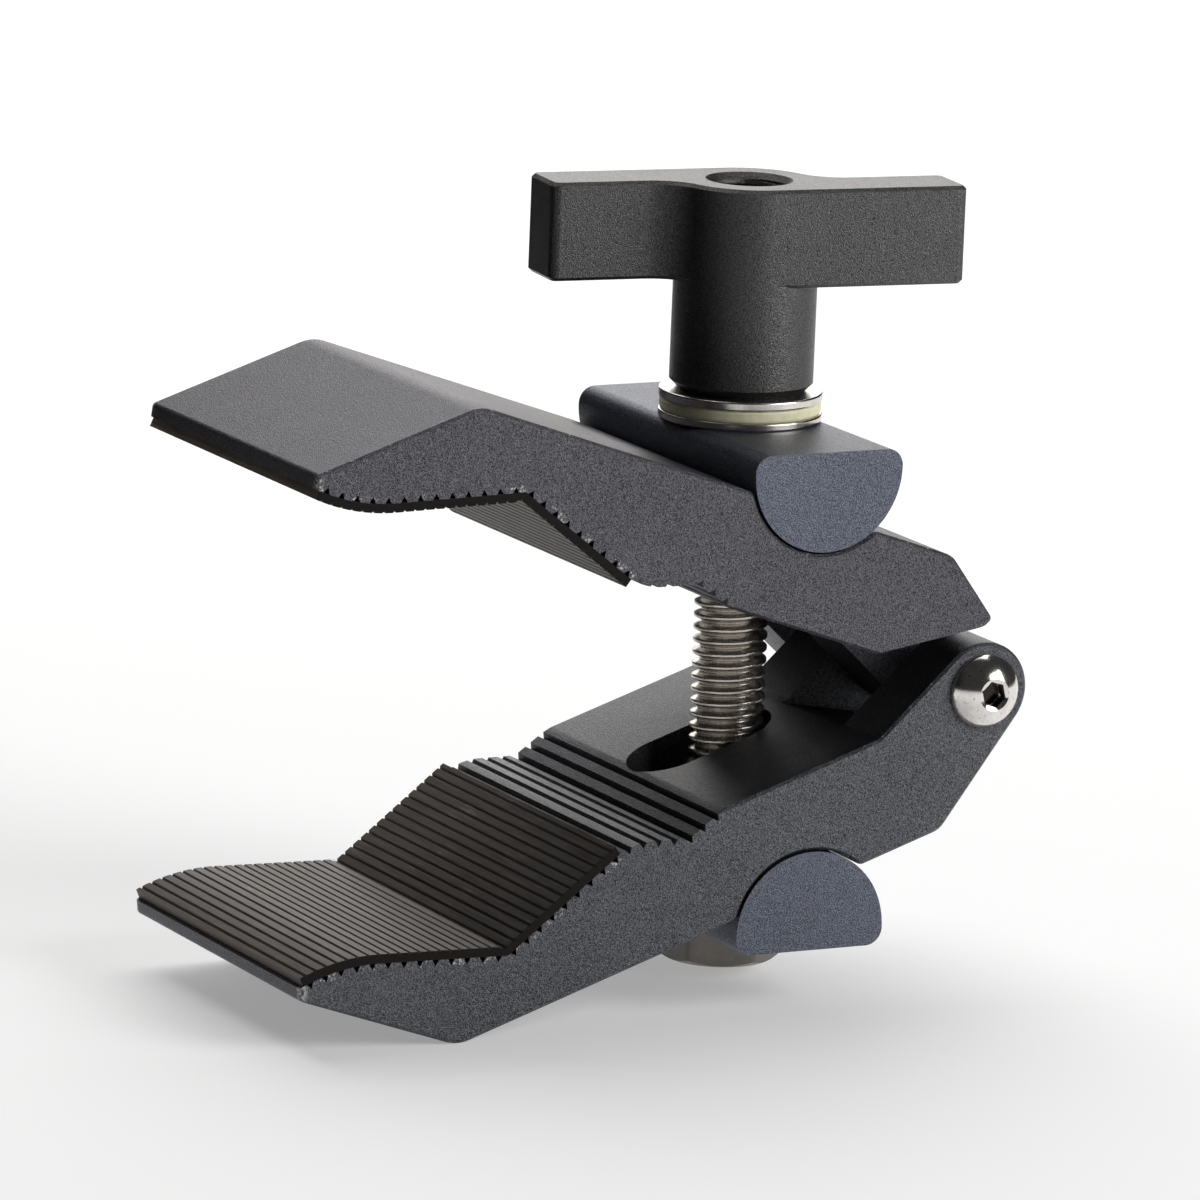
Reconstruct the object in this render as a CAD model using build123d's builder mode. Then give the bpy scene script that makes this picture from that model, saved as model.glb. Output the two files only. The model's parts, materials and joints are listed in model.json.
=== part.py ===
from build123d import *
import os
from math import asin, atan2, cos, degrees, hypot, radians, sin, sqrt, tan

# Camera tube clamp in millimetres: two hinged jaws, drawn together by a bolt and a tee handle.
# The origin is on the axis of the clamped tube, midway between the jaws and midway across them.
# +X runs from the open mouth to the hinge, +Y across the jaws and +Z up along the bolt.

# Linkage: both pivot blocks are the same distance from the hinge, so their holes stay in line
# with the bolt at every opening.
jaw_width = 48.0
pivot_spacing = 58.6
hinge_arm = 37.5
bolt_x = 42.0
pivot_height = pivot_spacing / 2
hinge_reach = sqrt(hinge_arm**2 - pivot_height**2)

# Jaw section, measured from the axis of its pivot block. Both jaws share one extruded profile.
slope = radians(18.6)
seat_depth = 5.4
jaw_thickness = 14.5
tip_x = -70.0
belly_x = -48.3
rear_x = 18.1
tip_inner = (-70.2, -1.6)
tip_bend = (-64.6, 0.85)
root = (-41.9, 0.35)
crown = (-25.5, 13.25)
step_foot = (-17.5, 13.3)
ramp_front_x = -12.7
ramp_foot_x = 8.8
tip_radius = 0.7
belly_radius = 5.0
rear_radius = 3.0
ramp_foot_radius = 1.5
crown_radius = 8.0
tip_bend_radius = 24.0
shoulder_radius = 1.2
edge_break = 0.35

# Teeth cut across the inner face of each jaw.
tooth_pitch = 2.15
tooth_width = 0.9
tooth_depth = 0.8
tooth_margin = 1.2

# Hinge: each jaw has an ear at one side and a lug just past its middle, between those of the
# other jaw. The two jaws are the same extrusion, one turned over.
ear_radius = 6.1
ear_inside = 14.7
lug_inside = 0.2
lug_outside = 11.0
relief_start_x = 7.8
relief_angle = radians(-9.5)
relief_reach = 40.0
hinge_screw_radius = 2.475
hinge_bore_radius = 2.55
hinge_thread_radius = 2.5
hinge_screw_length = 45.0
button_radius = 4.75
button_height = 2.75
button_rim = 0.45
button_shoulder_radius = 4.2
button_shoulder_height = 1.75
button_flat_radius = 3.0
button_hex = 3.0
button_hex_depth = 1.7

# Pivot blocks and the slots that the bolt swings in.
block_radius = 10.3
seat_gap = 0.25
flat_height = 2.3
block_corner = 2.2
block_bore_radius = 5.1
bolt_slot_length = 20.0
bolt_slot_width = 11.4
bolt_slot_shift = 2.65

# Rubber pads, ribbed across.
pad_thickness = 1.15
pad_start_x = -69.7
pad_end_x = -27.0
rib_pitch = 1.38
rib_width = 0.45
rib_depth = 0.3

# Bolt, three inches long under a hex head.
bolt_radius = 4.7
bolt_length = 76.2
head_across_flats = 14.3
head_height = 6.2
head_chamfer = 1.0
head_turn = 6.0

# Washers, from the block upwards.
washer_bore_radius = 5.1
washer_radius = 10.3
nylon_radius = 10.15
lower_washer_thickness = 1.0
nylon_thickness = 1.55
upper_washer_thickness = 1.15

# Tee handle: a barrel and a bar whose arms leave the hub on opposite sides.
hub_radius = 9.05
barrel_length = 14.1
barrel_chamfer = 1.1
bar_length = 52.0
bar_height = 12.4
arm_thickness = 8.8
arm_blend = 5.5
arm_corner = 1.2
bar_edge = 0.45
handle_turn = -6.0
socket_radius = 4.7625
socket_depth = 16.5
socket_chamfer = 0.75
thread_relief_radius = 4.95


def outer_line(x):
    return seat_depth / cos(slope) + tan(slope) * x


def ramp_line(x):
    return (seat_depth + jaw_thickness) / cos(slope) + tan(slope) * x


def tangent_point(start, side):
    # Where a line from start touches the ear's circle, on its left (side 1) or right (side -1).
    across = hinge_reach - start[0]
    up = pivot_height - start[1]
    heading = atan2(up, across) + side * asin(ear_radius / hypot(across, up))
    length = sqrt(across**2 + up**2 - ear_radius**2)
    return (start[0] + length * cos(heading), start[1] + length * sin(heading))


belly = (belly_x, outer_line(belly_x))
tip_outer = (tip_x, belly[1] + tan(slope) * (belly_x - tip_x))
rear = (rear_x, outer_line(rear_x))
ramp_front = (ramp_front_x, ramp_line(ramp_front_x))
ramp_foot = (ramp_foot_x, ramp_line(ramp_foot_x))
hinge_centre = (hinge_reach, pivot_height)
ear_back = tangent_point(rear, -1)
ear_front = tangent_point(ramp_foot, 1)

# Each jaw is drawn in the frame of its block: the upper one's plane is the mirror image.
lower_plane = Plane(origin=(bolt_x, 0, -pivot_height), x_dir=(1, 0, 0), z_dir=(0, -1, 0))
upper_plane = Plane(origin=(bolt_x, 0, pivot_height), x_dir=(1, 0, 0), z_dir=(0, 1, 0))


def crest_line():
    # The inner face's line from the tip to the foot of the hinge ramp.
    with BuildLine() as line:
        FilletPolyline(
            tip_inner, tip_bend, root, crown, step_foot, ramp_front,
            radius=[tip_bend_radius, 0, crown_radius, 0],
        )
    return line.wire()


def pad_line():
    # The same line, from just behind the tip to where the pad ends on the incline.
    tip_rise = (tip_bend[1] - tip_inner[1]) / (tip_bend[0] - tip_inner[0])
    incline_rise = (crown[1] - root[1]) / (crown[0] - root[0])
    pad_start = (pad_start_x, tip_inner[1] + tip_rise * (pad_start_x - tip_inner[0]))
    pad_end = (pad_end_x, root[1] + incline_rise * (pad_end_x - root[0]))
    with BuildLine() as line:
        FilletPolyline(pad_start, tip_bend, root, pad_end, radius=[tip_bend_radius, 0])
    return line.wire()


def grooves(path, pitch, width, depth, margin, lift=0):
    # V grooves square to a line, at even steps along it, in a face that stands off it by lift.
    count = int((path.length - 2 * margin) / pitch) + 1
    first = (path.length - (count - 1) * pitch) / 2
    with BuildSketch() as cuts:
        for index in range(count):
            distance = first + index * pitch
            spot = path.position_at(distance, position_mode=PositionMode.LENGTH)
            along = path.tangent_at(distance, position_mode=PositionMode.LENGTH)
            with Locations((spot.X, spot.Y)):
                Polygon(
                    (-width, lift + depth), (width, lift + depth), (0, lift - depth),
                    rotation=degrees(atan2(along.Y, along.X)),
                    align=None,
                )
    return cuts.sketch


def jaw_profile():
    # The full section of a jaw before its teeth: outline, ear, and seat for the half-round block.
    corners = [
        (tip_outer, tip_radius),
        (belly, belly_radius),
        (rear, rear_radius),
        (ear_back, 0),
        (hinge_centre, 0),
        (ear_front, 0),
        (ramp_foot, ramp_foot_radius),
        (ramp_front, 0),
        (step_foot, 0),
        (crown, crown_radius),
        (root, 0),
        (tip_bend, tip_bend_radius),
        (tip_inner, 0),
    ]
    with BuildSketch() as profile:
        with BuildLine():
            FilletPolyline(
                [point for point, radius in corners],
                radius=[radius for point, radius in corners],
                close=True,
            )
        make_face()
        with Locations(hinge_centre):
            Circle(ear_radius)
        Circle(block_radius + seat_gap, mode=Mode.SUBTRACT)
        fillet(profile.vertices(Select.LAST), shoulder_radius)
    return profile.sketch


def pad_profile():
    # A strip of even thickness along the jaw's face, with grooves between the ribs on its outside.
    with BuildSketch() as strip:
        with BuildLine():
            add(pad_line())
            offset(amount=pad_thickness, side=Side.LEFT, closed=True)
        make_face()
        cuts = grooves(pad_line(), rib_pitch, rib_width, rib_depth, rib_pitch / 2, pad_thickness)
        add(cuts, mode=Mode.SUBTRACT)
    return strip.sketch


def hinge_relief():
    # The stretch above a line that runs back from the end of the ramp, clear of the other ear.
    start = (relief_start_x, ramp_line(relief_start_x))
    end_x = start[0] + relief_reach
    with BuildSketch() as relief:
        with BuildLine():
            Polyline(
                start,
                (end_x, start[1] + relief_reach * tan(relief_angle)),
                (end_x, start[1] + relief_reach),
                (start[0], start[1] + relief_reach),
                close=True,
            )
        make_face()
    return relief.sketch


def bolt_slot_plane(seat_plane):
    # Across the slope, with its x along the slope and its origin at the block's axis.
    mirror = -seat_plane.z_dir.Y
    along = (cos(slope), 0, mirror * sin(slope))
    outward = (-sin(slope), 0, mirror * cos(slope))
    return Plane(origin=seat_plane.origin, x_dir=along, z_dir=outward)


def section_point(place):
    # A place in the clamp, seen in the frame of its jaw's section.
    return Vector(place.X - bolt_x, pivot_height - abs(place.Z))


def outline_edges(part):
    # The edges round a jaw's two side faces, apart from those along the teeth, which stay sharp.
    crest = crest_line()
    sides = part.faces().filter_by(Axis.Y).group_by(Axis.Y)
    edges = sides[0].edges() + sides[-1].edges()
    return edges.filter_by(
        lambda edge: crest.distance_to(section_point(edge.center())) > edge_break
    )


os.makedirs("parts", exist_ok=True)

profile = jaw_profile()
relief = hinge_relief()
teeth = grooves(crest_line(), tooth_pitch, tooth_width, tooth_depth, tooth_margin)
pad_section = pad_profile()


def jaw_blank(plane):
    # A jaw without its screw holes and teeth. Its plane's normal points to the side of its ear.
    with BuildPart() as jaw:
        with BuildSketch(plane):
            add(profile)
        extrude(amount=jaw_width / 2, both=True)
        chamfer(outline_edges(jaw), edge_break)
        for start, end in ((-lug_inside, ear_inside), (-jaw_width / 2, -lug_outside)):
            with BuildSketch(plane.offset(start)):
                add(relief)
            extrude(amount=end - start, mode=Mode.SUBTRACT)
        with BuildSketch(bolt_slot_plane(plane)):
            with Locations((bolt_slot_shift, 0)):
                SlotOverall(bolt_slot_length, bolt_slot_width)
        extrude(amount=2 * jaw_thickness, both=True, mode=Mode.SUBTRACT)
    return jaw.part


# Lower jaw: its ear is on the near side, and the hinge screw turns freely in both its holes.
with BuildPart() as lower_jaw:
    add(jaw_blank(lower_plane))
    with BuildSketch(lower_plane):
        with Locations(hinge_centre):
            Circle(hinge_bore_radius)
    extrude(amount=jaw_width, both=True, mode=Mode.SUBTRACT)
    with BuildSketch(lower_plane):
        add(teeth)
    extrude(amount=jaw_width, both=True, mode=Mode.SUBTRACT)
lower_jaw.part.label = "lower_jaw"
export_step(lower_jaw.part, "parts/lower_jaw.step")

# Upper jaw: its ear is on the far side, with the tapped hole that holds the hinge screw.
with BuildPart() as upper_jaw:
    add(jaw_blank(upper_plane))
    with BuildSketch(upper_plane):
        with Locations(hinge_centre):
            Circle(hinge_thread_radius)
    extrude(amount=jaw_width, mode=Mode.SUBTRACT)
    with BuildSketch(upper_plane):
        with Locations(hinge_centre):
            Circle(hinge_bore_radius)
    extrude(amount=-jaw_width, mode=Mode.SUBTRACT)
    with BuildSketch(upper_plane):
        add(teeth)
    extrude(amount=jaw_width, both=True, mode=Mode.SUBTRACT)
upper_jaw.part.label = "upper_jaw"
export_step(upper_jaw.part, "parts/upper_jaw.step")

# Rubber pads, glued over the teeth from the tip to the top of the incline.
for name, plane in (("lower_jaw_pad", lower_plane), ("upper_jaw_pad", upper_plane)):
    with BuildPart() as pad:
        with BuildSketch(plane):
            add(pad_section)
        extrude(amount=jaw_width / 2, both=True)
    pad.part.label = name
    export_step(pad.part, f"parts/{name}.step")

# Pivot blocks: a rod with a flat, rolling in the jaw's seat, bored for the bolt.
for name, plane in (("lower_pivot_block", lower_plane), ("upper_pivot_block", upper_plane)):
    with BuildPart() as block:
        with BuildSketch(plane) as section:
            Circle(block_radius)
            with Locations((0, -flat_height)):
                Rectangle(
                    2 * block_radius, 2 * block_radius,
                    align=(Align.CENTER, Align.MAX),
                    mode=Mode.SUBTRACT,
                )
            fillet(section.vertices().group_by(Axis.Y)[0], block_corner)
        extrude(amount=jaw_width / 2, both=True)
        with Locations((bolt_x, 0, plane.origin.Z)):
            Hole(block_bore_radius)
    block.part.label = name
    export_step(block.part, f"parts/{name}.step")


def washer(radius, thickness, height):
    # A flat ring on the bolt's axis.
    with BuildPart(Plane((bolt_x, 0, height))) as ring:
        Cylinder(radius, thickness, align=(Align.CENTER, Align.CENTER, Align.MIN))
        Hole(washer_bore_radius)
    return ring


# Washers between the upper block and the handle: steel, nylon, steel.
block_top = pivot_height + flat_height
nylon_base = block_top + lower_washer_thickness
upper_washer_base = nylon_base + nylon_thickness
handle_base = upper_washer_base + upper_washer_thickness

lower_steel_washer = washer(washer_radius, lower_washer_thickness, block_top)
lower_steel_washer.part.label = "lower_steel_washer"
export_step(lower_steel_washer.part, "parts/lower_steel_washer.step")

nylon_washer = washer(nylon_radius, nylon_thickness, nylon_base)
nylon_washer.part.label = "nylon_washer"
export_step(nylon_washer.part, "parts/nylon_washer.step")

upper_steel_washer = washer(washer_radius, upper_washer_thickness, upper_washer_base)
upper_steel_washer.part.label = "upper_steel_washer"
export_step(upper_steel_washer.part, "parts/upper_steel_washer.step")

# Clamp bolt: its hex head bears on the lower block's flat and its end stops inside the handle.
head_top = -pivot_height - flat_height
with BuildPart() as clamp_bolt:
    with BuildSketch(Plane((bolt_x, 0, head_top))):
        RegularPolygon(
            head_across_flats / 2, side_count=6, major_radius=False, rotation=head_turn
        )
    extrude(amount=-head_height)
    cone_height = head_height - head_chamfer
    with BuildSketch(Plane((bolt_x, 0, head_top), x_dir=(1, 0, 0), z_dir=(0, -1, 0))):
        with BuildLine():
            corner_radius = head_across_flats / sqrt(3)
            Polyline(
                (0, 0),
                (corner_radius, 0),
                (corner_radius, -cone_height),
                (head_across_flats / 2 - edge_break, -head_height),
                (0, -head_height),
                close=True,
            )
        make_face()
    revolve(axis=Axis((bolt_x, 0, 0), (0, 0, 1)), mode=Mode.INTERSECT)
    with BuildSketch(Plane((bolt_x, 0, head_top))):
        Circle(bolt_radius)
    extrude(amount=bolt_length)
clamp_bolt.part.label = "clamp_bolt"
export_step(clamp_bolt.part, "parts/clamp_bolt.step")

# Tee handle: seen from above its outline is the same after half a turn, with each arm flush
# with the hub on one side and blended into it on the other.
bar_base = handle_base + barrel_length
bar_top = bar_base + bar_height
with BuildPart() as t_handle:
    with BuildSketch(Plane((bolt_x, 0, bar_base)).rotated((0, 0, handle_turn))) as bar:
        Circle(hub_radius)
        with PolarLocations(0, 2):
            with Locations((bar_length / 4, arm_thickness / 2 - hub_radius)):
                Rectangle(bar_length / 2, arm_thickness)
        ends = bar.vertices().filter_by(lambda vertex: abs(vertex.X) > 2 * hub_radius)
        fillet(ends, arm_corner)
        inner = bar.vertices().filter_by(lambda vertex: abs(vertex.Y) < arm_thickness / 2)
        fillet(inner.sort_by(lambda vertex: abs(vertex.X))[:2], arm_blend)
    extrude(amount=bar_height)
    chamfer(t_handle.faces().filter_by(Axis.Z).edges(), bar_edge)
    with BuildSketch(Plane((bolt_x, 0, handle_base))):
        Circle(hub_radius)
    extrude(amount=barrel_length + bar_height / 2)
    chamfer(t_handle.faces().sort_by(Axis.Z)[0].edges(), barrel_chamfer)
    with BuildSketch(Plane((bolt_x, 0, handle_base))):
        Circle(thread_relief_radius)
    extrude(amount=bar_top - socket_depth - handle_base, mode=Mode.SUBTRACT)
    with BuildSketch(Plane((bolt_x, 0, bar_top))):
        Circle(socket_radius)
    extrude(amount=-socket_depth, mode=Mode.SUBTRACT)
    top_rim = t_handle.faces().sort_by(Axis.Z)[-1].inner_wires().edges()
    chamfer(top_rim, socket_chamfer)
t_handle.part.label = "t_handle"
export_step(t_handle.part, "parts/t_handle.step")

# Hinge screw: a button head on the near ear, its dome drawn as two cones, threaded into the far
# ear of the upper jaw.
hinge_x = bolt_x + hinge_reach
near_face = -jaw_width / 2
with BuildPart() as hinge_screw:
    with BuildSketch(Plane((hinge_x, near_face, 0))):
        with BuildLine():
            Polyline(
                (0, 0),
                (button_radius, 0),
                (button_radius, -button_rim),
                (button_shoulder_radius, -button_shoulder_height),
                (button_flat_radius, -button_height),
                (0, -button_height),
                close=True,
            )
        make_face()
    revolve(axis=Axis((hinge_x, 0, 0), (0, 1, 0)))
    with BuildSketch(Plane.XZ.offset(-near_face)):
        with Locations((hinge_x, 0)):
            Circle(hinge_screw_radius)
    extrude(amount=-hinge_screw_length)
    with BuildSketch(Plane.XZ.offset(-near_face + button_height)):
        with Locations((hinge_x, 0)):
            RegularPolygon(button_hex / 2, side_count=6, major_radius=False)
    extrude(amount=-button_hex_depth, mode=Mode.SUBTRACT)
hinge_screw.part.label = "hinge_screw"
export_step(hinge_screw.part, "parts/hinge_screw.step")
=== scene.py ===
import json
from math import cos, pi, radians, sin, tan

import bmesh
import bpy
import numpy as np
from mathutils import Matrix, Vector
from mathutils.bvhtree import BVHTree


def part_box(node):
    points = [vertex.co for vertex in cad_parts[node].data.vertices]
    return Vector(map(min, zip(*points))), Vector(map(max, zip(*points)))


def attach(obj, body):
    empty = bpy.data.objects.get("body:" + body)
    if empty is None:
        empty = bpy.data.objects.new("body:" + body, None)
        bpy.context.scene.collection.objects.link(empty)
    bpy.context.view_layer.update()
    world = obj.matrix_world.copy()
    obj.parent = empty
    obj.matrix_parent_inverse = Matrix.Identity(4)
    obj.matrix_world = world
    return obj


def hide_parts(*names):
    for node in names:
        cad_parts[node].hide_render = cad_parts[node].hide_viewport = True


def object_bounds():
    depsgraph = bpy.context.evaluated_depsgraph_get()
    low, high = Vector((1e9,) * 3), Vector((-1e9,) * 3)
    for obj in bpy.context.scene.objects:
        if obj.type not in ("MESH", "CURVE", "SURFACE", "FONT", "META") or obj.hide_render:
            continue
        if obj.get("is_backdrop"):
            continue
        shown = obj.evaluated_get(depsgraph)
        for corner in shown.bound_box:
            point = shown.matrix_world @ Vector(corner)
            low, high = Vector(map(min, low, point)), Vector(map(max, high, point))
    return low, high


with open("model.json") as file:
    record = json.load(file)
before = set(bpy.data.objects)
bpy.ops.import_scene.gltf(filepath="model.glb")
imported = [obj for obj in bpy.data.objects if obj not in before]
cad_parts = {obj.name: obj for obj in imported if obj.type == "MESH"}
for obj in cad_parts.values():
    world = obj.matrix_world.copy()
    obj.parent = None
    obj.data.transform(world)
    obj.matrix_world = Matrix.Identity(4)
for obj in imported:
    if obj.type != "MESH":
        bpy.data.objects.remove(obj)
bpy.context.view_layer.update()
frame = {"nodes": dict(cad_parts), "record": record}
nodes = frame["nodes"]
mm = 0.001


# Shader maths


class Wire:
    # One output of a shader node, so that shader maths reads as Python expressions.
    def __init__(self, tree, socket):
        self.tree = tree
        self.socket = socket

    def maths(self, operation, *values):
        return Graph(self.tree).node(
            "ShaderNodeMath", {"operation": operation}, dict(enumerate(values))
        )

    def __add__(self, other):
        return self.maths("ADD", self, other)

    def __radd__(self, other):
        return self.maths("ADD", other, self)

    def __sub__(self, other):
        return self.maths("SUBTRACT", self, other)

    def __rsub__(self, other):
        return self.maths("SUBTRACT", other, self)

    def __mul__(self, other):
        return self.maths("MULTIPLY", self, other)

    def __rmul__(self, other):
        return self.maths("MULTIPLY", other, self)

    def __truediv__(self, other):
        return self.maths("DIVIDE", self, other)

    def __abs__(self):
        return self.maths("ABSOLUTE", self)

    def lowest(self, other):
        return self.maths("MINIMUM", self, other)

    def highest(self, other):
        return self.maths("MAXIMUM", self, other)

    def swing(self, amount):
        # A noise taken to either side of zero.
        return (self - 0.5) * amount

    def step(self, low, high):
        # 0 below low, 1 above high, and a smooth rise between them.
        return Graph(self.tree).node(
            "ShaderNodeMapRange",
            {"interpolation_type": "SMOOTHSTEP"},
            {"Value": self, "From Min": low, "From Max": high},
        )


class Graph:
    # A node tree that nodes are added to by one method.
    def __init__(self, tree):
        self.tree = tree

    def node(self, kind, settings=None, inputs=None, output=0):
        made = self.tree.nodes.new(kind)
        for name, value in (settings or {}).items():
            if name == "stops":
                ramp = made.color_ramp
                for index, (place, colour) in enumerate(value):
                    if index >= len(ramp.elements):
                        ramp.elements.new(place)
                    ramp.elements[index].position = place
                    ramp.elements[index].color = colour
            else:
                setattr(made, name, value)
        for name, value in (inputs or {}).items():
            socket = made.inputs[name]
            if isinstance(value, Wire):
                self.tree.links.new(value.socket, socket)
            else:
                socket.default_value = value
        return Wire(self.tree, made.outputs[output])

    def place(self, scale=(1, 1, 1), turn=(0, 0, 0), shift=(0, 0, 0)):
        # Object coordinates in millimetres, then scaled, turned and shifted.
        coords = self.node("ShaderNodeTexCoord", output="Object")
        return self.node(
            "ShaderNodeMapping",
            None,
            {
                "Vector": coords,
                "Scale": tuple(value / mm for value in scale),
                "Rotation": turn,
                "Location": shift,
            },
        )

    def along(self, axis):
        # One of the object coordinates, in millimetres.
        return self.node("ShaderNodeSeparateXYZ", None, {"Vector": self.place()}, axis)

    def noise(self, vector, scale, detail=2.0, roughness=0.5):
        return self.node(
            "ShaderNodeTexNoise",
            None,
            {"Vector": vector, "Scale": scale, "Detail": detail, "Roughness": roughness},
            "Fac",
        )

    def scaled(self, vector, amount):
        return self.node(
            "ShaderNodeVectorMath", {"operation": "SCALE"}, {"Vector": vector, "Scale": amount}
        )

    def mix(self, share, first, second):
        # Two colours. The sockets are numbered, as those for colours share their names.
        return self.node(
            "ShaderNodeMix", {"data_type": "RGBA"}, {0: share, 6: first, 7: second}, 2
        )


def newFinish(name, colour, **values):
    # A material with its main shader, and its uniform values set on the shader's own sockets.
    material = bpy.data.materials.new(name)
    material.use_nodes = True
    tree = material.node_tree
    shader = tree.nodes["Principled BSDF"]
    shader.inputs["Base Color"].default_value = (*colour, 1)
    for key, value in values.items():
        shader.inputs[key.replace("_", " ")].default_value = value
    return material, Graph(tree), shader


def feed(graph, shader, name, wire):
    graph.tree.links.new(wire.socket, shader.inputs[name])


def emboss(graph, shader, depth, height):
    # A relief of a depth in millimetres.
    relief = graph.node(
        "ShaderNodeBump", None, {"Strength": 1.0, "Distance": depth * mm, "Height": height}
    )
    feed(graph, shader, "Normal", relief)


# Finishes

sideFace = 24.0     # mm from the middle to the side faces of the jaws, blocks and pads


def nearSide(across, band):
    # 0 well inside the side faces and 1 at them, with a rise over a band in mm inside the face.
    return across.step(sideFace - band[0], sideFace - band[1])


wear = {
    "bare": (0.55, 0.55, 0.55, 1),
    "edge": (0.42, 0.3),    # mm inside the side face, where its broken edge begins
    "face": (0.06, 0.02),   # mm inside it, where the edge ends
    "speckGrain": 1.3,      # per mm
    "speckLevels": (0.62, 0.68),    # of the noise, where specks begin and are full
    "burrReach": 1.1,       # mm, how far burrs reach from the teeth
    "burrStart": 0.3,       # mm before the teeth, where they begin
    "burrGrain": 2.6,       # burrs per mm
    "burrLevels": (0.56, 0.64),
    "patchGrain": 0.25,     # patches of burrs per mm
    "burrPatches": (0.42, 0.55),
    "padFade": 1.0,         # mm past each end of the pad, where burrs end
    "tip": (-27.6, -26.8),  # mm along X, where the nicked corners end
    "tipInset": (1.2, 0.4),         # mm inside the side face, where they begin
    "nickLevels": (0.42, 0.6),
    "nickPatches": (0.35, 0.5),
    "gripSamples": 24,
    "margin": 0.01,         # share of the pad's length left out at each end
    "inset": 0.5,           # mm inside the pad's side, where it is sampled
    "rayStart": 20.0,       # mm under the pad
}


def gripStops(low, high):
    # How far the toothed side of a jaw is from the middle plane, sampled along X under the lower
    # pad from below, as the stops of a colour ramp in shares of the pad's own height.
    pad = nodes["lower_jaw_pad"].data
    tree = BVHTree.FromPolygons(
        [vert.co for vert in pad.vertices], [list(face.vertices) for face in pad.polygons]
    )
    margin = wear["margin"]
    stops = []
    for share in np.linspace(0, 1, wear["gripSamples"]):
        x = low.x + (high.x - low.x) * (margin + (1 - 2 * margin) * share)
        start = Vector((x, high.y - wear["inset"] * mm, low.z - wear["rayStart"] * mm))
        found = tree.ray_cast(start, Vector((0, 0, 1)))[0]
        level = (found.z - low.z) / (high.z - low.z)
        stops.append((share, (level, level, level, 1)))
    return stops


def wornShare(graph, place):
    # Where a jaw is worn bare: specks on the broken edges round its side faces, burrs beside its
    # teeth, and nicks at the corners of its tip.
    low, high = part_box("lower_jaw_pad")
    front, back = low.x / mm, high.x / mm
    x, across, away = graph.along("X"), abs(graph.along("Y")), abs(graph.along("Z"))
    share = (x - front) / (back - front)
    level = graph.node("ShaderNodeValToRGB", {"stops": gripStops(low, high)}, {"Fac": share})
    teeth = abs(low.z / mm + level * ((high.z - low.z) / mm))
    behind = away - teeth
    reach, fade = wear["burrReach"], wear["padFade"]
    beside = behind.step(-wear["burrStart"], 0.0) * (1 - behind.step(reach / 2, reach))
    onPad = x.step(front - fade, front) * (1 - x.step(back, back + fade))
    edge = nearSide(across, wear["edge"])
    fine = graph.noise(place, wear["burrGrain"], roughness=0.7)
    slow = graph.noise(place, wear["patchGrain"])
    burrs = fine.step(*wear["burrLevels"]) * slow.step(*wear["burrPatches"])
    burrs = burrs * beside * edge * onPad
    specks = graph.noise(place, wear["speckGrain"], detail=3.0, roughness=0.7)
    specks = specks.step(*wear["speckLevels"]) * (edge - nearSide(across, wear["face"]))
    corner = (1 - x.step(*wear["tip"])) * nearSide(across, wear["tipInset"])
    nicks = corner * fine.step(*wear["nickLevels"]) * slow.step(*wear["nickPatches"])
    return burrs.highest(specks).highest(nicks)


blasting = {
    "coarseGrain": 0.3,     # coarse grains for one fine grain
    "coarseShade": 0.12,    # how much the coarse grain changes the shade
    "cloudShade": 0.3,
    "darkest": 0.2,         # share of the colour
    "coarseGloss": 0.1,     # how much the coarse grain changes the roughness
    "cloudGloss": 0.08,
    "coarseRelief": 0.5,    # height of the coarse grain, beside the fine grain's 1
}

upperJawLook = {
    "colour": (0.086, 0.085, 0.096),
    "metallic": 0.9,
    "roughness": 0.42,
    "grain": 7.4,       # grains per mm
    "depth": 0.12,      # mm
    "speckle": 4.0,     # how much the grain changes the shade
    "cloud": 0.06,      # cycles per mm
    "worn": 0.7,        # how bare its worn places are
}

lowerJawLook = {**upperJawLook, "colour": (0.087, 0.090, 0.098)}    # a little cooler

blockLook = {
    "colour": (0.105, 0.114, 0.142),
    "metallic": 0.9,
    "roughness": 0.44,
    "grain": 5.8,
    "depth": 0.06,
    "speckle": 3.0,
    "cloud": 0.05,
    "worn": 0,
}

handleLook = {
    "colour": (0.080, 0.079, 0.081),
    "metallic": 0.9,
    "roughness": 0.38,
    "grain": 6.6,
    "depth": 0.08,
    "speckle": 2.8,
    "cloud": 0.06,
    "worn": 0,
}


def makeBlasted(name, look):
    # Bead-blasted and anodised aluminium: a fine even grain in the relief and in the shade, slow
    # clouds that take it a little lighter and darker, and bare worn places where asked for.
    material, graph, shader = newFinish(name, look["colour"], Metallic=look["metallic"])
    place = graph.place()
    grain = graph.noise(place, look["grain"], detail=1.0)
    coarse = graph.noise(place, look["grain"] * blasting["coarseGrain"], detail=1.0)
    cloud = graph.noise(place, look["cloud"])
    shade = 1 + grain.swing(look["speckle"]) + coarse.swing(blasting["coarseShade"])
    shade = shade + cloud.swing(blasting["cloudShade"])
    tint = graph.scaled(look["colour"], shade.highest(blasting["darkest"]))
    if look["worn"]:
        tint = graph.mix(wornShare(graph, place) * look["worn"], tint, wear["bare"])
    feed(graph, shader, "Base Color", tint)
    gloss = cloud.swing(blasting["cloudGloss"]) + coarse.swing(blasting["coarseGloss"])
    feed(graph, shader, "Roughness", look["roughness"] + gloss)
    emboss(graph, shader, look["depth"], grain + coarse * blasting["coarseRelief"])
    return material


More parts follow.
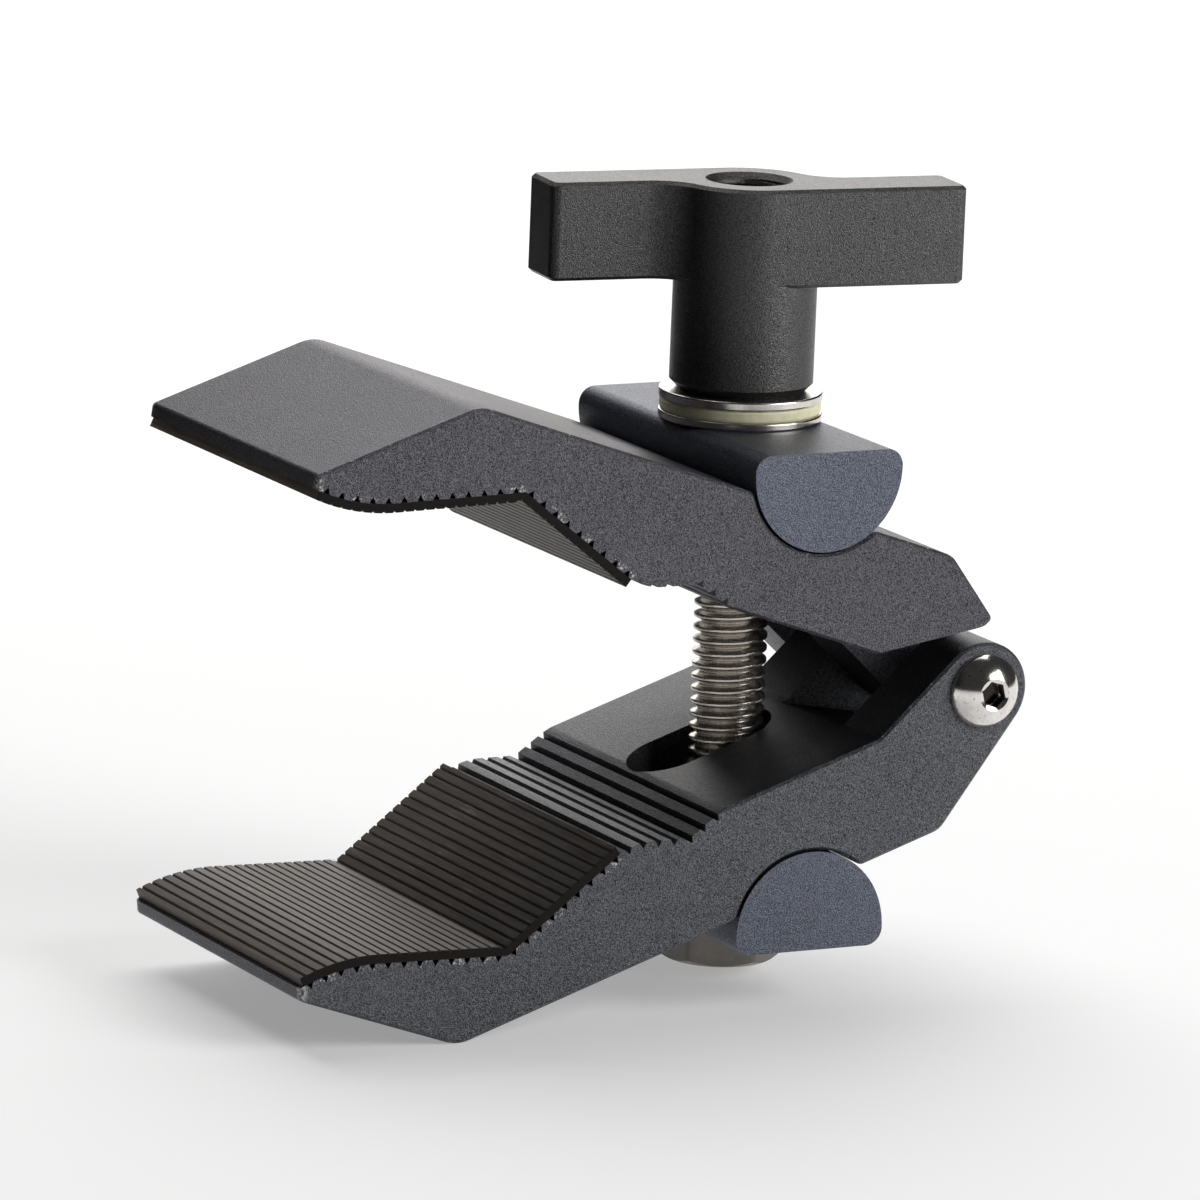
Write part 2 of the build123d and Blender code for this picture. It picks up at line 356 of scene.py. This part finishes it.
rubberLook = {
    "colour": (0.088, 0.070, 0.057),
    "roughness": 0.5,
    "specular": 0.3,
    "streaks": 4.0,         # per mm
    "streakStretch": (1, 0.03, 1),      # along Y
    "streakShade": (0.1, 1.8),      # least shade, and what the streaks add
    "streakGloss": 0.25,    # how much they change the roughness
    "grain": 6.0,           # per mm
    "depth": 0.02,          # mm
    "dust": (0.26, 0.235, 0.205),
    "dustGrain": 0.35,      # patches per mm
    "dustStretch": (1, 0.3, 1),
    "dustTurn": (0, 0, 0.4),        # radians
    "dustLevels": (0.55, 0.75),     # of the noise, where dust begins and is full
    "dustStreaks": (0.42, 0.62),    # of the streaks, likewise
    "dustShare": 0.6,
    "side": (0.006, 0.005, 0.004),
    "sideBand": (0.08, 0.02),       # mm inside the side face
    "sideDull": 0.4,        # added to the roughness there
}


def makeRubber():
    # Black rubber: streaks drawn along the ribs, a fine grain and a little dust on its ribbed
    # face, and deep black where it is cut at the sides.
    look = rubberLook
    material, graph, shader = newFinish(
        "ribbedRubber", look["colour"], Specular_IOR_Level=look["specular"]
    )
    place = graph.place(look["streakStretch"])
    streaks = graph.noise(place, look["streaks"], detail=3.0, roughness=0.6)
    grain = graph.noise(graph.place(), look["grain"])
    place = graph.place(look["dustStretch"], look["dustTurn"])
    dust = graph.noise(place, look["dustGrain"], detail=4.0, roughness=0.7)
    dusty = dust.step(*look["dustLevels"]) * streaks.step(*look["dustStreaks"])
    side = nearSide(abs(graph.along("Y")), look["sideBand"])
    tint = graph.mix(dusty * look["dustShare"], (*look["colour"], 1), (*look["dust"], 1))
    least, added = look["streakShade"]
    shaded = graph.scaled(tint, least + streaks * added)
    feed(graph, shader, "Base Color", graph.mix(side, shaded, (*look["side"], 1)))
    roughness = look["roughness"] + streaks.swing(look["streakGloss"]) + side * look["sideDull"]
    feed(graph, shader, "Roughness", roughness)
    emboss(graph, shader, look["depth"], grain + streaks)
    return material


steel = {
    "markGloss": (0.6, 0.8),        # least share of the roughness, and what the marks add
    "stainGrain": 0.8,      # per mm
    "stainShade": (0.8, 0.4),       # least shade, and what the stains add
    "stainGloss": 0.06,     # how much they add to the roughness
    "rustGrain": 2.4,       # per mm
    "rustLevels": (0.6, 0.68),      # of the noise, where rust begins and is full
    "rust": (0.09, 0.045, 0.02, 1),
    # Painted shade for the bolt's head, which lies in shadow.
    "paintedShadeFade": 0.4,        # mm over and under the height where the painted shade fades in
    "paintedShadeShare": 0.7,
    "holeDarkReach": (1.45, 1.75),     # mm from the middle of the hole
    "holeDarkDepth": 1.3,      # mm, how deep in the head that middle is
    "holeDark": (0.035, 0.03, 0.026, 1),
}

boltLook = {
    "colour": (0.56, 0.52, 0.47),
    "roughness": 0.24,
    "stretch": (1, 1, 1),
    "marks": 9.0,           # per mm
    "depth": 0.004,         # mm
    "rust": 0.0,
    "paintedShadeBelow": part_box("lower_pivot_block")[0].z / mm,     # mm, the top of the head, below which shade is painted
    "hole": None,
}

washerLook = {
    "colour": (0.66, 0.63, 0.58),
    "roughness": 0.2,
    "stretch": (1, 1, 0.2),
    "marks": 5.0,
    "depth": 0.01,
    "rust": 0.35,
    "paintedShadeBelow": None,
    "hole": None,
}

screwLow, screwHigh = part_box("hinge_screw")

screwLook = {
    "colour": (0.74, 0.71, 0.68),
    "roughness": 0.12,
    "stretch": (1, 1, 1),
    "marks": 6.0,
    "depth": 0.004,
    "rust": 0.9,
    "paintedShadeBelow": None,
    "hole": ((screwLow.x + screwHigh.x) / 2 / mm, screwLow.y / mm + steel["holeDarkDepth"], 0),
}


def makeSteel(name, look):
    # Stainless steel with fine marks and slow stains. Where asked for it has specks of rust,
    # painted shade below a height, or is darker towards the middle of a hole.
    material, graph, shader = newFinish(name, look["colour"], Metallic=1.0)
    marks = graph.noise(graph.place(look["stretch"]), look["marks"], detail=3.0, roughness=0.65)
    stain = graph.noise(graph.place(), steel["stainGrain"], detail=3.0, roughness=0.6)
    least, added = steel["markGloss"]
    gloss = look["roughness"] * (least + marks * added) + stain * steel["stainGloss"]
    feed(graph, shader, "Roughness", gloss)
    least, added = steel["stainShade"]
    tint = graph.scaled(look["colour"], least + stain * added)
    if look["rust"]:
        rust = graph.noise(graph.place(), steel["rustGrain"], detail=4.0, roughness=0.75)
        tint = graph.mix(rust.step(*steel["rustLevels"]) * look["rust"], tint, steel["rust"])
    # Painted shade: the steel is darkened below a height, where the bolt's head lies in shadow.
    if look["paintedShadeBelow"] is not None:
        height, fade = look["paintedShadeBelow"], steel["paintedShadeFade"]
        paintedShade = 1 - graph.along("Z").step(height - fade, height + fade)
        tint = graph.scaled(tint, 1 - paintedShade * steel["paintedShadeShare"])
    # Darker towards the middle of the hexagon hole.
    if look["hole"]:
        place = graph.place(shift=[-value for value in look["hole"]])
        apart = graph.node("ShaderNodeVectorMath", {"operation": "LENGTH"}, {0: place}, "Value")
        tint = graph.mix(1 - apart.step(*steel["holeDarkReach"]), tint, steel["holeDark"])
    feed(graph, shader, "Base Color", tint)
    emboss(graph, shader, look["depth"], marks)
    return material


nylonLook = {
    "colour": (0.72, 0.68, 0.36),       # where a viewport shows no mottle
    "light": (0.95, 0.91, 0.66, 1),
    "dark": (0.86, 0.80, 0.50, 1),
    "mottle": 0.9,          # per mm
    "levels": (0.3, 0.7),   # of the mottle, from dark to light
    "roughness": (0.35, 0.2),       # least, and what the mottle adds
}


def makeNylon():
    # Natural nylon, slightly mottled.
    look = nylonLook
    material, graph, shader = newFinish("creamNylon", look["colour"])
    mottle = graph.noise(graph.place(), look["mottle"], detail=3.0)
    tint = graph.mix(mottle.step(*look["levels"]), look["dark"], look["light"])
    feed(graph, shader, "Base Color", tint)
    least, added = look["roughness"]
    feed(graph, shader, "Roughness", least + mottle * added)
    return material


finishes = {
    "lowerJaw": makeBlasted("blastedLowerJaw", lowerJawLook),
    "upperJaw": makeBlasted("blastedUpperJaw", upperJawLook),
    "block": makeBlasted("blastedBlock", blockLook),
    "handle": makeBlasted("blastedHandle", handleLook),
    "rubber": makeRubber(),
    "bolt": makeSteel("boltSteel", boltLook),
    "washer": makeSteel("washerSteel", washerLook),
    "screw": makeSteel("screwSteel", screwLook),
    "nylon": makeNylon(),
}

# Each piece of the clamp, with its finish here and the record's name for its material.
nodeFinish = {
    "lower_jaw": ("lowerJaw", "anodised_aluminium"),
    "upper_jaw": ("upperJaw", "anodised_aluminium"),
    "lower_jaw_pad": ("rubber", "ribbed_rubber"),
    "upper_jaw_pad": ("rubber", "ribbed_rubber"),
    "lower_pivot_block": ("block", "anodised_aluminium"),
    "upper_pivot_block": ("block", "anodised_aluminium"),
    "lower_steel_washer": ("washer", "stainless_steel"),
    "nylon_washer": ("nylon", "cream_nylon"),
    "upper_steel_washer": ("washer", "stainless_steel"),
    "clamp_bolt": ("bolt", "stainless_steel"),
    "t_handle": ("handle", "black_aluminium"),
    "hinge_screw": ("screw", "stainless_steel"),
}
print("finishes made")


# Pieces

bodyOf = {
    node: body
    for body, members in frame["record"]["behaviour"]["bodies"].items()
    for node in members
}


def addObject(name, data):
    made = bpy.data.objects.new(name, data)
    bpy.context.scene.collection.objects.link(made)
    return made


def dress(piece, node, sharpAngle):
    # Shades a piece smooth between its hard edges, and gives it the finish and the body of the
    # node that it stands for.
    finish, slot = nodeFinish[node]
    mesh = piece.data
    work = bmesh.new()
    work.from_mesh(mesh)
    for face in work.faces:
        face.smooth = True
    for edge in work.edges:
        edge.smooth = len(edge.link_faces) == 2 and edge.calc_face_angle(0) < radians(sharpAngle)
    work.to_mesh(mesh)
    work.free()
    mesh.materials.clear()
    mesh.materials.append(finishes[finish])
    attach(piece, bodyOf[node])
    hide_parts(node)


def meshPiece(name, points, faces, node, sharpAngle):
    # A new piece from a grid of points in millimetres and faces.
    mesh = bpy.data.meshes.new(name)
    mesh.from_pydata((points.reshape(-1, 3) * mm).tolist(), [], faces)
    mesh.validate()
    dress(addObject(name, mesh), node, sharpAngle)


# The side of each jaw's ear: -1 near, 1 far.
earSide = {"lower_jaw": -1, "upper_jaw": 1}

hingeCorner = {
    "size": 1.4,        # mm, how far each side of the corner is cut back to round it
    "near": 0.8,        # mm, how far the vertices of its edges may be from it
    "onFace": 0.01,     # mm, how far a vertex on the side face may be inside it
    "segments": 6,
}


def roundHingeCorner(work, side):
    # Rounds the corner at the hinge end of a jaw where it is cut back for the ear of the other
    # jaw. The corner is the point of that side face that is furthest towards the hinge.
    edgeOfFace = (sideFace - hingeCorner["onFace"]) * mm
    onFace = [vert.co for vert in work.verts if vert.co.y * side > edgeOfFace]
    corner = max(onFace, key=lambda place: place.x).xz
    near = {vert for vert in work.verts if (vert.co.xz - corner).length < hingeCorner["near"] * mm}
    edges = [
        edge
        for edge in work.edges
        if near.issuperset(edge.verts) and (edge.verts[0].co - edge.verts[1].co).y != 0
    ]
    bmesh.ops.bevel(
        work,
        geom=edges,
        offset=hingeCorner["size"] * mm,
        segments=hingeCorner["segments"],
        profile=0.5,
        affect="EDGES",
    )


easing = {
    "join": 0.0002,     # mm, how near two vertices are to be joined
    "flat": 0.4,        # degrees, up to which triangles count as one face
    "sharp": 30,        # degrees, from which an edge is eased
    "segments": 3,
}

# How far the hard edges of each piece are eased, in mm.
easedEdges = {
    "lower_jaw": 0.12,
    "upper_jaw": 0.12,
    "lower_jaw_pad": 0.06,
    "upper_jaw_pad": 0.06,
    "lower_pivot_block": 0.35,
    "upper_pivot_block": 0.35,
    "lower_steel_washer": 0.22,
    "nylon_washer": 0.35,
    "upper_steel_washer": 0.22,
    "t_handle": 0.4,
}


def softCopy(node, name, bevel):
    # A copy of a CAD piece with its triangles joined up, smooth where it is round, and with its
    # hard edges eased by a narrow bevel.
    mesh = nodes[node].data.copy()
    mesh.name = name
    work = bmesh.new()
    work.from_mesh(mesh)
    bmesh.ops.remove_doubles(work, verts=work.verts, dist=easing["join"] * mm)
    bmesh.ops.dissolve_limit(
        work, angle_limit=radians(easing["flat"]), verts=work.verts, edges=work.edges
    )
    if node in earSide:
        roundHingeCorner(work, -earSide[node])
    work.to_mesh(mesh)
    work.free()
    piece = addObject(name, mesh)
    dress(piece, node, easing["sharp"])
    eased = piece.modifiers.new("easedEdges", "BEVEL")
    eased.width = bevel * mm
    eased.segments = easing["segments"]
    eased.limit_method = "ANGLE"
    eased.angle_limit = radians(easing["sharp"])
    flat = piece.modifiers.new("flatFaces", "WEIGHTED_NORMAL")
    flat.keep_sharp = True


def ringFaces(rings, around, looped=False):
    # Quads between rings of points, each ring closed on itself. Where looped, the last ring is
    # joined to the first one too.
    index = np.arange(rings * around).reshape(rings, around)
    if looped:
        index = np.vstack([index, index[:1]])
    nextOver = np.roll(index, -1, axis=1)
    return np.stack([index[:-1], nextOver[:-1], nextOver[1:], index[1:]], -1).reshape(-1, 4)


def cappedFaces(rings, around):
    # The same quads, with a face over the first ring and one over the last.
    last = range((rings - 1) * around, rings * around)
    return [*ringFaces(rings, around).tolist(), list(range(around))[::-1], list(last)]


def circle(around):
    # Evenly spaced angles round a full turn.
    return np.arange(around) * 2 * pi / around


def turned(radii, heights, angle):
    # Points round the Z axis from one radius and height for each ring and each angle.
    radii = np.broadcast_to(radii, (len(heights), len(angle)))
    heights = np.broadcast_to(heights, radii.shape)
    return np.stack([radii * np.cos(angle), radii * np.sin(angle), heights], -1)


def hexagon(flats, angle, turn):
    # Distance from the middle of a hexagon to its side, at each angle: half the width across its
    # flats over the cosine of the angle to the middle of the nearest flat.
    return flats / 2 / np.cos((angle - turn + pi / 6) % (pi / 3) - pi / 6)


pinhole = 0.02      # mm, radius of the last ring in the middle of an end

thread = {
    "pitch": 1.5875,        # mm, 16 threads to the inch
    "root": 0.1,            # share of half a pitch
    "flank": 0.68,          # share of half a pitch
    "straight": 0.45,       # 1 for straight flanks, 0 for a smooth step
    "runOut": 1.6,          # mm over which the thread fades at each end
    "rowsPerTurn": 20,
    "around": 96,
}


def threadWave(turn):
    # Height of the thread over one pitch, turn running from 0 to 1: nearly straight flanks between
    # a rounded root at 0 and a broader rounded crest at 1/2.
    share = 1 - np.abs(2 * (turn % 1.0) - 1)
    flank = np.clip((share - thread["root"]) / thread["flank"], 0, 1)
    smooth = flank**2 * (3 - 2 * flank)
    return thread["straight"] * flank + (1 - thread["straight"]) * smooth


def threadRows(low, high, length, phase=0.0):
    # Rows of points up a thread between two heights, as many as a length takes, with the wave of
    # the thread at each height and angle, which rises by a pitch in each turn, and its fading.
    rows = int(length / thread["pitch"] * thread["rowsPerTurn"])
    height = np.linspace(low, high, rows)
    turn = height[:, None] / thread["pitch"] - circle(thread["around"]) / (2 * pi) + phase
    fade = np.clip(np.minimum(height - low, high - height) / thread["runOut"], 0, 1)
    return height, threadWave(turn), fade[:, None]


def boltAxis():
    # Where the bolt's axis is in mm, from the box of the washers round it.
    low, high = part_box("nylon_washer")
    return ((low.x + high.x) / 2 / mm, 0, 0)


bolt = {
    "crest": 4.7,           # mm, radius
    "depth": 0.95,          # mm
    "endChamfer": 0.9,      # mm high
    "endInset": 0.7,        # mm, how far that chamfer goes in from the root
    "headFlats": 14.3,      # mm
    "headFace": 0.96,       # how wide its round end faces are, as a share of its flats
    "headTurn": 6,          # degrees
    "headChamfer": 30,      # degrees
    "headTopChamfer": 0.2,  # mm high
    "sharp": 50,            # degrees
}


def makeBolt():
    # Rings of points up the shank, each at the radius that the helix of the thread has there, over
    # a hexagon head whose corners are cut by a cone.
    low, high = (corner.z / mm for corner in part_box("clamp_bolt"))
    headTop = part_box("lower_pivot_block")[0].z / mm
    angle = circle(thread["around"])
    one = np.ones(len(angle))
    side = hexagon(bolt["headFlats"], angle, radians(bolt["headTurn"]))
    face = bolt["headFlats"] / 2 * bolt["headFace"]
    cone = (side - face) * tan(radians(bolt["headChamfer"]))
    rows, wave, fade = threadRows(headTop, high - bolt["endChamfer"], high - headTop)
    root = bolt["crest"] - bolt["depth"]
    shank = root + bolt["depth"] * wave * fade
    end = root - bolt["endInset"]
    radii = [pinhole * one, face * one, side, side, face * one, root * one]
    heights = [low, low, low + cone, headTop - bolt["headTopChamfer"], headTop, headTop]
    radii = np.vstack([*radii, shank[1:], end * one, pinhole * one])
    heights = np.vstack([height * one for height in (*heights, *rows[1:], high, high)])
    points = turned(radii, heights, angle) + boltAxis()
    faces = cappedFaces(len(radii), len(angle))
    meshPiece("threadedBolt", points, faces, "clamp_bolt", bolt["sharp"])


sleeve = {
    "radius": 4.76,         # mm
    "wall": 0.02,           # mm, how thick it is without its thread
    "depth": 0.72,          # mm, how far the thread stands in
    "top": 0.8,             # mm below the top of the bar
    "length": 15.4,         # mm
    "phase": 0.5,           # turns from the bolt's thread
    "sharp": 50,            # degrees
}


def makeSocketThread():
    # The handle's own thread: a sleeve in its bore whose inside follows the helix. Its ridge is
    # the square of the wave, narrower than the bolt's, so the two mesh without touching when the
    # clamp is closed.
    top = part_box("t_handle")[1].z / mm - sleeve["top"]
    low = top - sleeve["length"]
    rows, wave, fade = threadRows(low, top, sleeve["length"], sleeve["phase"])
    inside = sleeve["radius"] - sleeve["wall"] - sleeve["depth"] * wave**2 * fade
    outside = np.full((1, thread["around"]), sleeve["radius"])
    radii = np.vstack([outside, inside, outside])
    heights = np.array([low, *rows, top])[:, None]
    points = turned(radii, heights, circle(thread["around"])) + boltAxis()
    faces = ringFaces(len(radii), thread["around"], looped=True)[:, ::-1].tolist()
    meshPiece("socketThread", points, faces, "t_handle", sleeve["sharp"])


screw = {
    "radius": 4.75,         # mm
    "height": 2.75,         # mm
    "rim": 0.4,             # mm high
    "rimTop": 0.1,          # mm inside the rim, where the dome ends
    "rimSide": 0.8,         # share of the rim's height, where its side begins
    "rimFoot": 0.12,        # mm, chamfer under the rim
    "domeRings": 24,
    "flat": 2.05,           # mm, radius round the hexagon
    "hex": 3.0,             # mm across flats
    "hexTurn": 14,          # degrees
    "hexDepth": 1.7,        # mm
    "hexFoot": (0.98, 0.05),        # share of its width and mm high, the round foot of its sides
    "mouthWidth": 0.96,     # share of the flat's radius
    "mouth": (0.22, 0.04),  # mm under the crown, where the hexagon widens from and to
    "shank": 2.475,         # mm, radius
    "end": 0.5,             # mm
    "around": 96,
    "sharp": 40,            # degrees
}


def makeScrew():
    # A profile turned about the screw's axis: the hexagon hole, a ring round it, a dome on one arc
    # of a circle down to a rounded rim, and the plain shank behind.
    low, high = (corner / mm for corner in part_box("hinge_screw"))
    angle = circle(screw["around"])
    side = hexagon(screw["hex"], angle, radians(screw["hexTurn"]))
    radius, crown, rim, foot = (screw[key] for key in ("radius", "height", "rim", "rimFoot"))
    arcHeight = (radius**2 - screw["flat"] ** 2 + rim**2 - crown**2) / (2 * (rim - crown))
    arcRadius = np.hypot(radius, rim - arcHeight)
    reach = np.linspace(screw["flat"], radius - screw["rimTop"], screw["domeRings"])
    dome = arcHeight + np.sqrt(arcRadius**2 - reach**2)
    bottom = crown - screw["hexDepth"]
    footWidth, footHeight = screw["hexFoot"]
    mouthLow, mouthHigh = (crown - depth for depth in screw["mouth"])
    shank, shankEnd = screw["shank"], (low.y + crown) - high.y
    profile = [
        (pinhole, bottom),
        (side * footWidth, bottom),
        (side, bottom + footHeight),
        (side, mouthLow),
        (np.maximum(side, screw["flat"] * screw["mouthWidth"]), mouthHigh),
        *zip(reach, dome),
        (radius, rim * screw["rimSide"]),
        (radius, foot),
        (radius - foot, 0.0),
        (shank, 0.0),
        (shank, shankEnd + screw["end"]),
        (shank - screw["end"], shankEnd),
        (pinhole, shankEnd),
    ]
    radii = np.vstack([np.broadcast_to(ring[0], len(angle)) for ring in profile])
    heights = np.array([ring[1] for ring in profile])[:, None]
    x, y, z = np.moveaxis(turned(radii, heights, angle), -1, 0)
    middle = ((low.x + high.x) / 2, low.y + crown, (low.z + high.z) / 2)
    points = np.stack([x, -z, y], -1) + middle
    faces = [face[::-1] for face in cappedFaces(len(radii), len(angle))]
    meshPiece("domedScrew", points, faces, "hinge_screw", screw["sharp"])


makeBolt()
makeScrew()
makeSocketThread()
for node, width in easedEdges.items():
    softCopy(node, "soft_" + node, width)
print("pieces made")


# Stage

view = {
    "azimuth": 27.6,        # degrees, from -Y round towards -X
    "elevation": 11.86,     # degrees
    "roll": 2.265,          # degrees
    "aim": (25.3, 3.77, 8.36),      # mm
    "distance": 1217.9,     # mm
    "lens": 291.4,          # mm
    "sensor": 36,           # mm
    "clipEnd": 20,          # m
}


def makeCamera():
    azimuth = radians(view["azimuth"])
    elevation = radians(view["elevation"])
    roll = radians(view["roll"])
    look = Vector((sin(azimuth) * cos(elevation), cos(azimuth) * cos(elevation), -sin(elevation)))
    level = Vector((cos(azimuth), -sin(azimuth), 0))
    up = level.cross(look)
    right = level * cos(roll) + up * sin(roll)
    up = up * cos(roll) - level * sin(roll)
    data = bpy.data.cameras.new("camera")
    data.sensor_width = view["sensor"]
    data.lens = view["lens"]
    data.clip_end = view["clipEnd"]
    camera = addObject("camera", data)
    place = (Vector(view["aim"]) - look * view["distance"]) * mm
    turn = Matrix((right, up, -look)).transposed().to_4x4()
    camera.matrix_world = Matrix.Translation(place) @ turn
    bpy.context.scene.camera = camera


def flatCard(name, corners, material):
    # One flat face of the stage.
    mesh = bpy.data.meshes.new(name)
    mesh.from_pydata(corners, [], [(0, 1, 2, 3)])
    mesh.materials.append(material)
    return addObject(name, mesh)


paleFloor = {
    "drop": 0.05,           # mm under the lowest point of the clamp
    "size": 6.0,            # m
    "colour": (0.8, 0.8, 0.8),
    "roughness": 0.9,
    "glow": 0.3,            # added where the floor is seen or mirrored, to make it white
}


def makeFloor():
    # A pale floor that the camera sees as white wherever the clamp throws no shadow.
    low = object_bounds()[0].z - paleFloor["drop"] * mm
    half = paleFloor["size"] / 2
    corners = [(-half, -half, low), (half, -half, low), (half, half, low), (-half, half, low)]
    material, graph, shader = newFinish(
        "paleFloor",
        paleFloor["colour"],
        Roughness=paleFloor["roughness"],
        Specular_IOR_Level=0.0,
        Emission_Color=(1, 1, 1, 1),
    )
    rays = graph.tree.nodes.new("ShaderNodeLightPath")
    seen = sum(
        Wire(graph.tree, rays.outputs[name])
        for name in ("Is Camera Ray", "Is Glossy Ray", "Is Transmission Ray")
    )
    feed(graph, shader, "Emission Strength", seen.lowest(1) * paleFloor["glow"])
    floor = flatCard("floor", corners, material)
    floor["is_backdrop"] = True


blackCard = {
    "side": 0.135,          # m, left of the clamp as the camera sees it
    "reach": (-0.1, 0.5),   # m, along the camera's look
    "height": 0.3,          # m
    "colour": (0.004, 0.004, 0.004),
}


def makeFlag():
    # A black card that stands to the left, just out of the camera's view. It is seen in
    # reflections only, and keeps the sides of the block and the barrel dark.
    azimuth = radians(view["azimuth"])
    along = Vector((sin(azimuth), cos(azimuth), 0))
    left = Vector((-cos(azimuth), sin(azimuth), 0)) * blackCard["side"]
    low = Vector((0, 0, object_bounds()[0].z))
    up = Vector((0, 0, blackCard["height"]))
    near, far = (low + left + along * reach for reach in blackCard["reach"])
    material = newFinish("blackCard", blackCard["colour"], Roughness=1.0)[0]
    flag = flatCard("flag", [near, far, far + up, near + up], material)
    flag.visible_camera = False
    flag.visible_diffuse = False
    flag.visible_shadow = False
    flag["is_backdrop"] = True


lightTent = {
    "strength": 0.72,
    "openingSide": 128,     # degrees, from -Y round towards -X, where the tent is open and dark
    "openingShade": 0.06,   # how bright it is there
    "openingEdge": (0.25, 0.8),     # cosine of the angle from its middle, at its rim and inside
}


def makeTent():
    # A white light tent all round, open and dark on one side.
    world = bpy.data.worlds.new("lightTent")
    bpy.context.scene.world = world
    world.use_nodes = True
    graph = Graph(world.node_tree)
    background = world.node_tree.nodes["Background"]
    rays = world.node_tree.nodes.new("ShaderNodeLightPath")
    seen = Wire(world.node_tree, rays.outputs["Is Camera Ray"])
    coords = graph.node("ShaderNodeTexCoord", output="Generated")
    side = radians(lightTent["openingSide"])
    towards = (-sin(side), -cos(side), 0)
    facing = graph.node(
        "ShaderNodeVectorMath", {"operation": "DOT_PRODUCT"}, {0: coords, 1: towards}, "Value"
    )
    shade = 1 - facing.step(*lightTent["openingEdge"]) * (1 - lightTent["openingShade"])
    strength = shade * lightTent["strength"]
    feed(graph, background, "Strength", strength + seen * (1 - strength))


lampAim = Vector((0.03, 0, 0))      # m

# Places and sizes in m, power in W.
lamps = {
    "overhead": {"at": (0.15, 0.55, 1.0), "size": (1.2, 1.2), "power": 10.0, "colour": (1, 1, 1)},
    "behind": {"at": (0.3, 1.1, 0.3), "size": (1.2, 0.5), "power": 4.4, "colour": (1, 0.97, 0.93)},
    "right": {"at": (0.75, -0.85, 0.45), "size": (0.7, 0.7), "power": 9.5, "colour": (1, 1, 1)},
}


def makeLamps():
    for name, lamp in lamps.items():
        data = bpy.data.lights.new(name, "AREA")
        data.shape = "RECTANGLE"
        data.size, data.size_y = lamp["size"]
        data.energy = lamp["power"]
        data.color = lamp["colour"]
        light = addObject(name, data)
        light.location = lamp["at"]
        aim = lampAim - light.location
        light.rotation_euler = aim.to_track_quat("-Z", "Y").to_euler()


makeCamera()
makeFloor()
makeFlag()
makeTent()
makeLamps()
bpy.context.scene.view_settings.view_transform = "Standard"
print("stage made")
